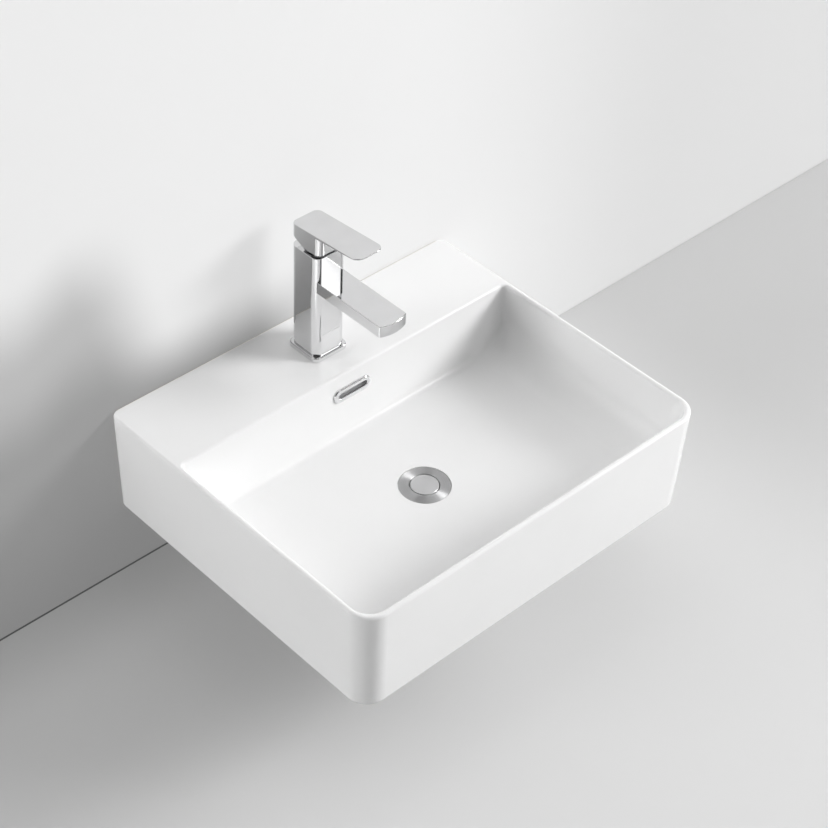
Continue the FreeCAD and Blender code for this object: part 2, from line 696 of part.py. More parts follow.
def click_rotor():
    """The latch ring, with slanted teeth round it."""
    top = ROTOR_LOW + ROTOR_HIGH
    body_r = STEM_COLLAR_R - ROTOR_RIM_DEEP
    rotor = rod(body_r, ROTOR_LOW, top)
    half = ROTOR_TOOTH_WIDTH / 2
    for tooth in range(ROTOR_TEETH):
        corners = [V(0, -half, ROTOR_LOW), V(0, half, ROTOR_LOW), V(0, half, top),
                   V(0, -half, top - ROTOR_HIGH / 3), V(0, -half, ROTOR_LOW)]
        wedge = Part.Face(Part.makePolygon(corners)).extrude(V(STEM_COLLAR_R, 0, 0))
        wedge.rotate(V(0, 0, 0), UP, 360 * tooth / ROTOR_TEETH)
        rotor = rotor.fuse(wedge)
    rotor = rotor.common(rod(STEM_COLLAR_R, ROTOR_LOW, top))
    return rotor.cut(rod(STEM_FOOT_R + THREAD_PLAY, ROTOR_LOW - CUT, top + CUT))


def click_spring():
    """A coil of round wire, in arcs of a quarter turn."""
    start = SPRING_LOW + SPRING_WIRE_R
    spots = []
    for eighth in range(8 * SPRING_TURNS + 1):
        angle = math.pi / 4 * eighth
        rise = SPRING_PITCH * eighth / 8
        spots.append(V(SPRING_R * math.cos(angle), SPRING_R * math.sin(angle), start + rise))
    arcs = []
    for first in range(0, 8 * SPRING_TURNS, 2):
        arcs.append(Part.Arc(*spots[first:first + 3]).toShape())
    section = Part.Wire(Part.makeCircle(SPRING_WIRE_R, spots[0], arcs[0].tangentAt(0)))
    return Part.Wire(arcs).makePipeShell([section], True, False)


def click_barrel():
    """The fixed barrel: it hangs by its flange in the bridge and guides the stem."""
    flange_r = BARREL_R + BRIDGE_HUB_WALL
    return turned([(STEM_R + LATCH_PLAY, BARREL_HEAD), (BARREL_R, BARREL_HEAD),
                   (BARREL_R, BARREL_FLANGE - BRIDGE_DROP),
                   (flange_r, BARREL_FLANGE - BRIDGE_DROP), (flange_r, -BRIDGE_DROP),
                   (BARREL_R, -BRIDGE_DROP), (BARREL_R, BARREL_LOW),
                   (0, BARREL_LOW), (0, BARREL_CELLAR), (BARREL_BORE_R, BARREL_CELLAR),
                   (BARREL_BORE_R, BARREL_HEAD - BARREL_TOP),
                   (STEM_R + LATCH_PLAY, BARREL_HEAD - BARREL_TOP)])


# Mixer. Heights are above the ledge and y is about the tap's axis.

def base_plate():
    """The foot plate, with a seal groove below and a collar that centres the body."""
    half = PLATE_SIDE / 2
    plate = slab(half, -half, half, PLATE_CORNER, PLATE_CORNER, PLATE_LIFT, PLATE_TOP)
    plate = plate.makeFillet(PLATE_ROUND, edges_at(plate, PLATE_TOP))
    plate = plate.fuse(rod(PLATE_BORE_R + COLLAR_WALL, PLATE_LIFT, PLATE_TOP + PLATE_COLLAR))
    groove = ring(BASE_SEAL_R + SEAL_GROOVE_PLAY,
                  BASE_SEAL_R - BASE_SEAL_WIDE - SEAL_GROOVE_PLAY, PLATE_LIFT - CUT,
                  BASE_SEAL_THICK)
    bore = rod(PLATE_BORE_R, PLATE_LIFT - CUT, PLATE_TOP + PLATE_COLLAR + CUT)
    return plate.cut([groove, bore])


def base_seal():
    return ring(BASE_SEAL_R, BASE_SEAL_R - BASE_SEAL_WIDE, 0, BASE_SEAL_THICK)


def spout_bar():
    """The flat spout, with its bowed tip."""
    corner_y = -SPOUT_REACH + SPOUT_BOW
    root_y = -BODY_HALF + BODY_CORNER
    z = SPOUT_UNDER
    right = V(SPOUT_HALF, corner_y, z)
    left = V(-SPOUT_HALF, corner_y, z)
    right_root = V(SPOUT_HALF, root_y, z)
    left_root = V(-SPOUT_HALF, root_y, z)
    edges = [Part.LineSegment(left_root, left).toShape(),
             Part.Arc(left, V(0, -SPOUT_REACH, z), right).toShape(),
             Part.LineSegment(right, right_root).toShape(),
             Part.LineSegment(right_root, left_root).toShape()]
    bar = Part.Face(Part.Wire(edges)).extrude(V(0, 0, SPOUT_THICK))
    tips = []
    for edge in bar.Edges:
        middle = edge.BoundBox.Center
        upright = edge.BoundBox.ZLength > SPOUT_THICK / 2
        if upright and middle.y < (corner_y + root_y) / 2:
            tips.append(edge)
    bar = bar.makeFillet(SPOUT_CORNER, tips)
    return bar.makeFillet(SPOUT_EDGE, edges_at(bar, SPOUT_UNDER) + edges_at(bar, SPOUT_TOP))


def slanted_bore(radius, low, high):
    """A round bore from one point to another."""
    run = high.sub(low)
    return Part.makeCylinder(radius, run.Length, low, run)


def mixer_body():
    """Body and spout in one casting, with every bore that it has."""
    column = slab(BODY_HALF, -BODY_HALF, BODY_HALF, BODY_CORNER, BODY_CORNER, PLATE_TOP, BODY_TOP)
    column = column.makeFillet(BODY_EDGE, edges_at(column, BODY_TOP))
    casting = column.fuse(spout_bar())
    foot_r = PLATE_BORE_R + COLLAR_WALL + FOOT_RECESS_PLAY
    inlet_top = RECESS_TOP + INLET_DEEP
    cuts = [rod(foot_r, PLATE_TOP - CUT, RECESS_TOP), rod(BORE_R, SEAT, BODY_TOP + CUT),
            rod(STUD_R + STUD_PLAY, RECESS_TOP - CUT, RECESS_TOP + STUD_GRIP + STUD_PLAY, 0,
                STUD_Y)]
    for side in (-1, 1):
        inlet = V(side * INLET_X, INLET_Y, inlet_top - INLET_R)
        port = V(side * PORT_X, PORT_Y, SEAT + CUT)
        cuts.append(rod(INLET_R, RECESS_TOP - CUT, inlet_top, side * INLET_X, INLET_Y))
        cuts.append(slanted_bore(PORT_R, inlet, port))
    duct_top = DUCT_LOW + SPOUT_DUCT_HIGH
    cuts.append(rod(OUTLET_R, DUCT_LOW, SEAT + CUT, 0, OUTLET_Y))
    cuts.append(block(NECK_DUCT_HALF, -NECK_DUCT_END - CUT, OUTLET_Y, DUCT_LOW, duct_top))
    cuts.append(block(SPOUT_DUCT_HALF, AERATOR_Y, -NECK_DUCT_END, DUCT_LOW, duct_top))
    pocket_top = SPOUT_UNDER + AERATOR_SUNK + AERATOR_HIGH + AERATOR_SEAL
    cuts.append(rod(AERATOR_R + AERATOR_PLAY, SPOUT_UNDER - CUT, pocket_top, 0, AERATOR_Y))
    return casting.cut(cuts)


def fixing_stud():
    return rod(STUD_R, -STUD_BELOW, RECESS_TOP + STUD_GRIP, 0, STUD_Y)


def horseshoe(z0, z1):
    """A round washer with a slot to its front edge for the two hoses."""
    slot = rod(HORSESHOE_SLOT_R, z0 - CUT, z1 + CUT, 0, HORSESHOE_SLOT_Y)
    mouth = block(HORSESHOE_SLOT_R, -CLAMP_R - CUT, HORSESHOE_SLOT_Y, z0 - CUT, z1 + CUT)
    stud = rod(STUD_R + STUD_PLAY, z0 - CUT, z1 + CUT, 0, STUD_Y)
    return rod(CLAMP_R, z0, z1).cut([slot, mouth, stud])


def horseshoe_gasket():
    return horseshoe(GASKET_LOW, -DECK)


def horseshoe_washer():
    return horseshoe(WASHER_LOW, GASKET_LOW)


def fixing_nut():
    nut = hexagon(LONG_NUT_FLATS, WASHER_LOW - LONG_NUT, WASHER_LOW)
    nut.translate(V(0, STUD_Y, 0))
    return nut.cut(rod(STUD_R + STUD_PLAY, WASHER_LOW - LONG_NUT - CUT, WASHER_LOW + CUT, 0,
                       STUD_Y))


def port_places():
    """Centre and radius of each water port: hot, cold and mixed."""
    return [(PORT_X, PORT_Y, PORT_R), (-PORT_X, PORT_Y, PORT_R), (0, OUTLET_Y, OUTLET_R)]


def port_seals():
    seals = []
    for x, y, radius in port_places():
        seals.append(ring(radius + PORT_SEAL_WALL, radius, SEAT, SEAT + PORT_SEAL_HIGH, x, y))
    return Part.makeCompound(seals)


def cartridge_base():
    base = rod(CARTRIDGE_R, BASE_LOW, BASE_TOP)
    for x, y, radius in port_places():
        base = base.cut([rod(radius, SEAT - CUT, BASE_TOP + CUT, x, y),
                         rod(radius + PORT_SEAL_WALL, SEAT - CUT, SEAT + PORT_SEAL_HIGH, x, y)])
    return base


def fixed_disc():
    disc = rod(CUP_BORE_R - DISC_FIT, BASE_TOP, FIXED_TOP)
    for x, y, radius in port_places():
        disc = disc.cut(rod(radius, BASE_TOP - CUT, FIXED_TOP + CUT, x, y))
    return disc


def moving_disc():
    """The sliding disc, with the pocket that joins the ports when it slides forward."""
    disc = rod(MOVING_DISC_R, MOVING_LOW, MOVING_TOP)
    pocket = block(POCKET_HALF, POCKET_FRONT, POCKET_BACK, MOVING_LOW - CUT,
                   MOVING_LOW + POCKET_DEEP)
    return disc.cut(pocket)


def disc_carrier():
    """The driver of the moving disc, with a cup for the ball of the stem."""
    carrier = rod(MOVING_DISC_R, MOVING_TOP, CARRIER_TOP)
    cup_floor = PIVOT - ROCK_ARM - BALL_R - BALL_PLAY
    return carrier.cut(rod(BALL_R + BALL_PLAY, cup_floor, CARRIER_TOP + CUT))


def cartridge_housing():
    roof_bore = TURRET_NECK_R + NECK_PLAY
    return turned([(CUP_BORE_R, BASE_TOP), (CARTRIDGE_R, BASE_TOP), (CARTRIDGE_R, CUP_TOP),
                   (roof_bore, CUP_TOP), (roof_bore, CUP_CEILING), (CUP_BORE_R, CUP_CEILING)])


def turret():
    """The turning holder: a flange under the roof and a slotted neck through it."""
    body = rod(CUP_BORE_R - DISC_FIT, TURRET_LOW, FLANGE_TOP_Z)
    body = body.fuse(rod(TURRET_NECK_R, FLANGE_TOP_Z, BODY_TOP))
    window = block(STEM_HALF_X + STEM_SIDE_PLAY, -WINDOW_HALF_Y, WINDOW_HALF_Y, TURRET_LOW - CUT,
                   BODY_TOP + CUT)
    pin_hole = Part.makeCylinder(PIN_R + PIN_RUNNING, 2 * TURRET_NECK_R,
                                 V(-TURRET_NECK_R, 0, PIVOT), ALONG_X)
    return body.cut([window, pin_hole])


def stem_pin():
    length = 2 * (TURRET_NECK_R - STEM_SIDE_PLAY)
    return Part.makeCylinder(PIN_R, length, V(-length / 2, 0, PIVOT), ALONG_X)


def cartridge_stem():
    """Ball, shank and square stem, bored for the pin."""
    ball_z = PIVOT - ROCK_ARM
    ball = Part.makeSphere(BALL_R, V(0, 0, ball_z))
    shank = rod(SHANK_R, ball_z, PIVOT - STEM_BELOW_PIN)
    square = block(STEM_HALF_X, -STEM_HALF_Y, STEM_HALF_Y, PIVOT - STEM_BELOW_PIN,
                   PIVOT + STEM_ABOVE_PIN)
    pin_hole = Part.makeCylinder(PIN_R + PIN_RUNNING, 4 * STEM_HALF_X,
                                 V(-2 * STEM_HALF_X, 0, PIVOT), ALONG_X)
    return square.fuse([shank, ball]).cut(pin_hole)


def cartridge_nut():
    """The ring nut, with notches for its key."""
    nut = ring(CARTRIDGE_R, NUT_RING_BORE_R, CUP_TOP, RING_TOP)
    notches = []
    for turn in range(NUT_RING_NOTCHES):
        notch = block(NUT_NOTCH_WIDTH / 2, 0, BORE_R, RING_TOP - NUT_NOTCH_DEEP, RING_TOP + CUT)
        notch.rotate(V(0, 0, 0), UP, 360 * turn / NUT_RING_NOTCHES)
        notches.append(notch)
    return nut.cut(notches)


def dome_cover():
    """A band of a sphere about the rocking pin, with a spigot into the body."""
    rise = BODY_TOP - PIVOT
    inner_r = DOME_R - DOME_WALL

    def spot(radius, height):
        return (math.sqrt(radius ** 2 - height ** 2), height)

    foot = spot(DOME_R, rise)
    mouth_up = math.sqrt(DOME_R ** 2 - DOME_MOUTH_R ** 2)
    mouth_in = math.sqrt(inner_r ** 2 - DOME_MOUTH_R ** 2)
    spigot_r = BORE_R - DOME_SPIGOT_PLAY
    bore_r = spigot_r - DOME_SPIGOT_WALL
    dome = turned([foot, spot(DOME_R, (rise + mouth_up) / 2) + (DOME_MOUTH_R, mouth_up),
                   (DOME_MOUTH_R, mouth_in),
                   spot(inner_r, (rise + DOME_BASE + mouth_in) / 2)
                   + spot(inner_r, rise + DOME_BASE),
                   (bore_r, rise + DOME_BASE), (bore_r, rise - DOME_SPIGOT),
                   (spigot_r, rise - DOME_SPIGOT), (spigot_r, rise)])
    return dome.translated(V(0, 0, PIVOT))


def lever_top(y):
    """Height of the lever's upper face above the rocking pin."""
    return LEVER_BACK_TOP + (LEVER_BACK - y) * math.tan(math.radians(LEVER_RISE_ANGLE))


def plate_under(y):
    """Height of the plate's underside above the rocking pin."""
    slope = (LEVER_ROOT_THICK - LEVER_TIP_THICK) / (LEVER_REACH - BODY_HALF)
    return lever_top(y) - LEVER_TIP_THICK - slope * (y + LEVER_REACH)


def edges_on(shape, height):
    """The edges that lie on a sloping plane, given as a height at each y."""
    found = []
    for edge in shape.Edges:
        spots = [vertex.Point for vertex in edge.Vertexes]
        spots.append(edge.valueAt((edge.FirstParameter + edge.LastParameter) / 2))
        if max(abs(spot.z - height(spot.y)) for spot in spots) < TOUCH:
            found.append(edge)
    return found


def lever():
    """Hub and plate: two plan outlines, each cut to its own side profile."""
    under = BODY_TOP - PIVOT + HUB_GAP
    back = LEVER_BACK
    front = -BODY_HALF
    tip = -LEVER_REACH
    tall = lever_top(tip) + CUT
    plan = slab(LEVER_HALF, tip, back, LEVER_TIP_CORNER, LEVER_CORNER, 0, tall)
    plate_side = side_profile([(back + CUT, lever_top(back + CUT)), (tip - CUT, lever_top(tip - CUT)),
                               (tip - CUT, plate_under(tip - CUT)),
                               (back + CUT, plate_under(back + CUT))], LEVER_SIDE)
    plate = plan.common(plate_side)
    undercut = min(LEVER_UNDERCUT, LEVER_TIP_THICK - LEVER_ROUND - TOUCH)
    plate = plate.makeChamfer(undercut, edges_on(plate, plate_under))
    hub_plan = slab(LEVER_HALF, front, back, LEVER_CORNER, LEVER_CORNER, 0, tall)
    relief = under + HUB_RELIEF
    hub_side = side_profile([(front - CUT, under), (HUB_FLAT, under), (back, relief),
                             (back + CUT, relief), (back + CUT, lever_top(back + CUT)),
                             (front - CUT, lever_top(front - CUT))], LEVER_SIDE)
    solid = plate.fuse(hub_plan.common(hub_side)).removeSplitter()
    solid = solid.makeFillet(LEVER_ROUND, edges_on(solid, lever_top))
    socket = block(STEM_HALF_X + SOCKET_PLAY, -STEM_HALF_Y - SOCKET_PLAY,
                   STEM_HALF_Y + SOCKET_PLAY, 0, STEM_ABOVE_PIN + SOCKET_PLAY)
    screw_hole = Part.makeCylinder(SCREW_R + SCREW_PLAY, LEVER_BACK, V(0, 0, SCREW_UP), V(0, 1, 0))
    cap_hole = Part.makeCylinder(CAP_R + SCREW_PLAY, SCREW_CAP + SCREW_CAP_SINK + CUT,
                                 V(0, LEVER_BACK - SCREW_CAP - SCREW_CAP_SINK, SCREW_UP),
                                 V(0, 1, 0))
    solid = solid.cut([Part.makeSphere(DOME_R + DOME_RUNNING), socket, screw_hole, cap_hole])
    return solid.translated(V(0, 0, PIVOT))


def lever_screw():
    """A grub screw against the stem, with its key socket outwards."""
    start = STEM_HALF_Y + SOCKET_PLAY
    screw = Part.makeCylinder(SCREW_R, SCREW_LENGTH, V(0, start, SCREW_UP), V(0, 1, 0))
    corners = []
    for corner in range(7):
        angle = math.pi / 3 * corner
        corners.append(V(SCREW_HEX_R * math.cos(angle), start + SCREW_LENGTH,
                         SCREW_UP + SCREW_HEX_R * math.sin(angle)))
    key = Part.Face(Part.makePolygon(corners)).extrude(V(0, -SCREW_HEX_DEEP, 0))
    return screw.cut(key).translated(V(0, 0, PIVOT))


def screw_cap():
    start = V(0, LEVER_BACK - SCREW_CAP - SCREW_CAP_SINK, SCREW_UP + PIVOT)
    return Part.makeCylinder(CAP_R, SCREW_CAP, start, V(0, 1, 0))


def aerator_housing():
    low = SPOUT_UNDER + AERATOR_SUNK
    bore = AERATOR_R - AERATOR_WALL
    housing = turned([(AERATOR_LIP_R, low), (AERATOR_R, low), (AERATOR_R, low + AERATOR_HIGH),
                      (bore, low + AERATOR_HIGH), (bore, low + AERATOR_LIP),
                      (AERATOR_LIP_R, low + AERATOR_LIP)])
    return housing.translated(V(0, AERATOR_Y, 0))


def aerator_core():
    """The insert, a disc pierced by rings of jet holes."""
    low = SPOUT_UNDER + AERATOR_SUNK + AERATOR_LIP
    high = SPOUT_UNDER + AERATOR_SUNK + AERATOR_HIGH
    radius = AERATOR_R - AERATOR_WALL - THREAD_PLAY
    core = rod(radius, low, high)
    holes = []
    for order, share in enumerate(JET_RING_SHARES):
        count = max(JETS_PER_RING * order, 1)
        for turn in range(count):
            angle = 2 * math.pi * turn / count
            reach = AERATOR_LIP_R * share
            holes.append(rod(JET_HOLE_R, low - CUT, high + CUT, reach * math.cos(angle),
                             reach * math.sin(angle)))
    return core.cut(holes).translated(V(0, AERATOR_Y, 0))


def aerator_seal():
    low = SPOUT_UNDER + AERATOR_SUNK + AERATOR_HIGH
    return ring(AERATOR_R, AERATOR_R - AERATOR_SEAL_WALL, low, low + AERATOR_SEAL, 0, AERATOR_Y)


save("basin_body", basin_body())
save("overflow_ring", overflow_ring())

save_waste("waste_body", waste_body())
save_waste("flange_gasket", flange_gasket())
save_waste("cone_gasket", cone_gasket())
save_waste("slip_washer", slip_washer())
save_waste("waste_nut", waste_nut())
save_waste("waste_plug", waste_plug())
save_waste("plug_seal", plug_seal())
save_waste("click_stem", click_stem())
save_waste("click_rotor", click_rotor())
save_waste("click_spring", click_spring())
save_waste("click_barrel", click_barrel())

save_tap("mixer_body", mixer_body())
save_tap("base_plate", base_plate())
save_tap("base_seal", base_seal())
save_tap("fixing_stud", fixing_stud())
save_tap("horseshoe_gasket", horseshoe_gasket())
save_tap("horseshoe_washer", horseshoe_washer())
save_tap("fixing_nut", fixing_nut())
save_tap("port_seals", port_seals())
save_tap("cartridge_base", cartridge_base())
save_tap("fixed_disc", fixed_disc())
save_tap("moving_disc", moving_disc())
save_tap("disc_carrier", disc_carrier())
save_tap("cartridge_housing", cartridge_housing())
save_tap("turret", turret())
save_tap("stem_pin", stem_pin())
save_tap("cartridge_stem", cartridge_stem())
save_tap("cartridge_nut", cartridge_nut())
save_tap("dome_cover", dome_cover())
save_tap("lever", lever())
save_tap("lever_screw", lever_screw())
save_tap("screw_cap", screw_cap())
save_tap("aerator_housing", aerator_housing())
save_tap("aerator_core", aerator_core())
save_tap("aerator_seal", aerator_seal())
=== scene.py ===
import bpy
import bmesh
import math
from mathutils import Matrix, Vector


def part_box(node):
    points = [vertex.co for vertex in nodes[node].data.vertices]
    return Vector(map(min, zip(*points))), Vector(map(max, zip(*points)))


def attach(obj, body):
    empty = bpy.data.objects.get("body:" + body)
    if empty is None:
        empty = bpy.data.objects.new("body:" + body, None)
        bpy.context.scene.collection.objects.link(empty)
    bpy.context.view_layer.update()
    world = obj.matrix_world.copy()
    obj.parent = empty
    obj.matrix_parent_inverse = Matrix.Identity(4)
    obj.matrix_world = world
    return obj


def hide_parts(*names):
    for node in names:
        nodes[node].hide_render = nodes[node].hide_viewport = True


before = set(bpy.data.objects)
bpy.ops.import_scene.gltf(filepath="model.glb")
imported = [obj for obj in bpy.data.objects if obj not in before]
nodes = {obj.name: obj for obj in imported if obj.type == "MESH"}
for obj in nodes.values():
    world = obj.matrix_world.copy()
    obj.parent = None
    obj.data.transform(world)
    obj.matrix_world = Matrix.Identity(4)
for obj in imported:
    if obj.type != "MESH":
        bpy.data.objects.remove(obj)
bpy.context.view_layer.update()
scene = bpy.context.scene


# Basin
# One casting of vitreous china, slip cast with its overflow channel and fired under an
# opaque white glaze. The face that goes against the wall is wiped bare before firing.

GLAZE_WHITE = (0.88, 0.88, 0.88, 1)
GLAZE_THIN = (0.865, 0.865, 0.865, 1)
GLAZE_SHINE = 0.34
GLAZE_SHEEN = (0.17, 0.23)
GLAZE_POOLS = 9.0
GLAZE_PATCHES = 55.0
GLAZE_FLOW = (22.0, 1.0)
GLAZE_FLOW_DEPTH = 0.00025
GLAZE_PEEL = (260.0, 1.0)
GLAZE_PEEL_DEPTH = 0.000008
BARE_CHINA = (0.72, 0.68, 0.60, 1)
BARE_SHEEN = 0.92
WIPED_EDGE = (-0.0018, -0.0006)
PATTERN_MIDDLE = (0.3, 0.7)
MIX_AMOUNT = 0
MIX_COLOURS = (6, 7)
MIX_RESULT = 2


def new_finish(name, colour, metal, roughness):
    """A finish with its node tree and its shader."""
    finish = bpy.data.materials.new(name)
    finish.use_nodes = True
    tree = finish.node_tree
    shader = tree.nodes["Principled BSDF"]
    shader.inputs["Base Color"].default_value = colour
    shader.inputs["Metallic"].default_value = metal
    shader.inputs["Roughness"].default_value = roughness
    return finish, tree, shader


def object_axes(tree):
    """The X, Y and Z of the piece's own coordinates."""
    place = tree.nodes.new("ShaderNodeTexCoord")
    axes = tree.nodes.new("ShaderNodeSeparateXYZ")
    tree.links.new(place.outputs["Object"], axes.inputs["Vector"])
    return axes.outputs


def climb(tree, value, start, end, low=0.0, high=1.0, course="LINEAR"):
    """Goes from low to high as a value goes from start to end, and no further."""
    made = tree.nodes.new("ShaderNodeMapRange")
    made.interpolation_type = course
    limits = (("From Min", start), ("From Max", end), ("To Min", low), ("To Max", high))
    for socket, number in limits:
        made.inputs[socket].default_value = number
    tree.links.new(value, made.inputs["Value"])
    return made.outputs["Result"]


def grain(tree, scale, detail=2.0, stretch=(1, 1, 1)):
    """Noise on the piece's own coordinates, with about scale features to the metre."""
    place = tree.nodes.new("ShaderNodeTexCoord")
    mapping = tree.nodes.new("ShaderNodeMapping")
    mapping.inputs["Scale"].default_value = stretch
    noise = tree.nodes.new("ShaderNodeTexNoise")
    noise.inputs["Scale"].default_value = scale
    noise.inputs["Detail"].default_value = detail
    tree.links.new(place.outputs["Object"], mapping.inputs["Vector"])
    tree.links.new(mapping.outputs["Vector"], noise.inputs["Vector"])
    return noise.outputs["Fac"]


def spread(tree, pattern, low=0.0, high=1.0):
    """The middle of a pattern stretched between two values."""
    return climb(tree, pattern, *PATTERN_MIDDLE, low, high)


def blend_colours(tree, amount, first, second):
    """Two colours, mixed by an amount from 0 to 1."""
    mix = tree.nodes.new("ShaderNodeMix")
    mix.data_type = "RGBA"
    for socket, colour in zip(MIX_COLOURS, (first, second)):
        if isinstance(colour, tuple):
            mix.inputs[socket].default_value = colour
        else:
            tree.links.new(colour, mix.inputs[socket])
    tree.links.new(amount, mix.inputs[MIX_AMOUNT])
    return mix.outputs[MIX_RESULT]


def relief(tree, pattern, depth, under=None):
    """A bump of a depth in metres, laid over another where there is one."""
    bump = tree.nodes.new("ShaderNodeBump")
    bump.inputs["Strength"].default_value = 1.0
    bump.inputs["Distance"].default_value = depth
    tree.links.new(pattern, bump.inputs["Height"])
    if under is not None:
        tree.links.new(under, bump.inputs["Normal"])
    return bump.outputs["Normal"]


def dress(finish, *names):
    """Gives CAD nodes a finish in place of the plain one."""
    for name in names:
        for slot in nodes[name].material_slots:
            slot.material = finish


glaze, tree, shader = new_finish("white_glaze_fired", GLAZE_WHITE, metal=0.0, roughness=0.12)
shader.inputs["Specular IOR Level"].default_value = GLAZE_SHINE
bare = climb(tree, object_axes(tree)["Y"], *WIPED_EDGE)
pooled = spread(tree, grain(tree, GLAZE_POOLS))
fired = blend_colours(tree, pooled, GLAZE_WHITE, GLAZE_THIN)
tree.links.new(blend_colours(tree, bare, fired, BARE_CHINA), shader.inputs["Base Color"])
sheen = climb(tree, bare, 0.0, 1.0, high=BARE_SHEEN)
patches = spread(tree, grain(tree, GLAZE_PATCHES), *GLAZE_SHEEN)
tree.links.new(patches, sheen.node.inputs["To Min"])
tree.links.new(sheen, shader.inputs["Roughness"])
flow = relief(tree, grain(tree, *GLAZE_FLOW), GLAZE_FLOW_DEPTH)
peel = relief(tree, grain(tree, *GLAZE_PEEL), GLAZE_PEEL_DEPTH, flow)
tree.links.new(peel, shader.inputs["Normal"])
dress(glaze, "basin_body")


# Overflow ring
# An oblong collar of chrome-plated brass pushed into the overflow hole. The plate is
# polished, with the faint haze that wiping leaves, and the collar's inside is left matt.

CHROME = (0.82, 0.82, 0.825, 1)
CHROME_HAZE = (0.79, 0.79, 0.795, 1)
CHROME_GRIT = (70.0, 1.0)
CHROME_DEPTH = 0.000015
RING_POLISHED = 0.0018
RING_MATT = 0.0032
RING_SHEEN = (0.04, 0.65)


def worked_finish(name, colour, metal, roughness, sheen, patches, grit, depth,
                  dull=None, blotches=None):
    """A finish with its sheen in patches over a fine grit, and dull blotches if there are any."""
    finish, tree, shader = new_finish(name, colour, metal, roughness)
    if dull is not None:
        worn = spread(tree, grain(tree, *blotches))
        tree.links.new(blend_colours(tree, worn, colour, dull), shader.inputs["Base Color"])
    tree.links.new(spread(tree, grain(tree, *patches), *sheen), shader.inputs["Roughness"])
    tree.links.new(relief(tree, grain(tree, *grit), depth), shader.inputs["Normal"])
    return finish


chrome = worked_finish("polished_chrome", CHROME, metal=1.0, roughness=0.04,
                       sheen=(0.03, 0.055), patches=(90.0, 5.0), grit=CHROME_GRIT,
                       depth=CHROME_DEPTH, dull=CHROME_HAZE, blotches=(30.0, 4.0))

ring_finish = chrome.copy()
ring_finish.name = "polished_chrome_matt_inside"
ring_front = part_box("overflow_ring")[0][1]
tree = ring_finish.node_tree
inside = climb(tree, object_axes(tree)["Y"], ring_front + RING_POLISHED,
               ring_front + RING_MATT, *RING_SHEEN)
tree.links.new(inside, tree.nodes["Principled BSDF"].inputs["Roughness"])
dress(ring_finish, "overflow_ring")


# Waste
# A turned brass flange and tail, with the cap that is pushed to open and close it. Both
# are faced in the lathe, so their plating is circular brushed. The tail's thread is cut.

BRUSHED = (0.70, 0.70, 0.705, 1)
BRUSHED_DARK = (0.565, 0.565, 0.57, 1)
CAP_SATIN = (0.66, 0.66, 0.665, 1)
CAP_SATIN_DARK = (0.62, 0.62, 0.625, 1)
LINES_PER_M = 2400.0
LINES_DETAIL = 3.0
LINES_DEPTH = 0.000006
STREAK_TURN = 0.25
THREAD_FULL = 0.86
THREAD_PAST = 0.0001
THREAD_SHARP = math.radians(28)
WELD = 0.000001
TAIL_STEPS = 40
TAIL_PITCH = 0.002309
TAIL_CREST = 0.02095
TAIL_THREAD_DEPTH = 0.00145
TAIL_LEAD = 0.005
TAIL_NECK = 0.006
RUBBER = (0.018, 0.018, 0.02, 1)
RESIN = (0.78, 0.78, 0.76, 1)
RESIN_PATCHES = (160.0, 3.0)
RESIN_GRIT = (700.0, 2.0)
RESIN_DEPTH = 0.00001
STEEL = (0.56, 0.57, 0.58, 1)
DRAWN = (1, 1, 0.08)
BRASS = (0.72, 0.53, 0.25, 1)
BRASS_DULL = (0.60, 0.44, 0.22, 1)
TURNED = (0.1, 0.1, 1)


def axis_y(node):
    """Where the upright axis of a round CAD piece stands between the wall and the front."""
    low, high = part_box(node)
    return (low[1] + high[1]) / 2


def turned_lines(tree, across):
    """Fine lines at uneven radii round an upright axis."""
    place = tree.nodes.new("ShaderNodeTexCoord")
    mapping = tree.nodes.new("ShaderNodeMapping")
    mapping.inputs["Location"].default_value = (0, -across, 0)
    mapping.inputs["Scale"].default_value = (1, 1, 0)
    radius = tree.nodes.new("ShaderNodeVectorMath")
    radius.operation = "LENGTH"
    lines = tree.nodes.new("ShaderNodeTexNoise")
    lines.noise_dimensions = "1D"
    lines.inputs["Scale"].default_value = LINES_PER_M
    lines.inputs["Detail"].default_value = LINES_DETAIL
    tree.links.new(place.outputs["Object"], mapping.inputs["Vector"])
    tree.links.new(mapping.outputs["Vector"], radius.inputs[0])
    tree.links.new(radius.outputs["Value"], lines.inputs["W"])
    return lines.outputs["Fac"]


def brushed_round(name, light, dark, roughness, streak):
    """Metal faced in the lathe, with its highlights drawn out across the lines."""
    finish, tree, shader = new_finish(name, light, metal=1.0, roughness=roughness)
    lines = turned_lines(tree, axis_y("waste_plug"))
    colour = blend_colours(tree, spread(tree, lines), light, dark)
    tree.links.new(colour, shader.inputs["Base Color"])
    tree.links.new(relief(tree, lines, LINES_DEPTH), shader.inputs["Normal"])
    shader.inputs["Anisotropic"].default_value = streak
    shader.inputs["Anisotropic Rotation"].default_value = STREAK_TURN
    tangent = tree.nodes.new("ShaderNodeTangent")
    tangent.direction_type = "RADIAL"
    tangent.axis = "Z"
    tree.links.new(tangent.outputs["Tangent"], shader.inputs["Tangent"])
    return finish


def add_object(name, data):
    """An object with its data, linked to the scene."""
    made = bpy.data.objects.new(name, data)
    scene.collection.objects.link(made)
    return made


def mesh_from(name, form):
    """A mesh made from a form, which is then freed."""
    mesh = bpy.data.meshes.new(name)
    form.to_mesh(mesh)
    form.free()
    return mesh


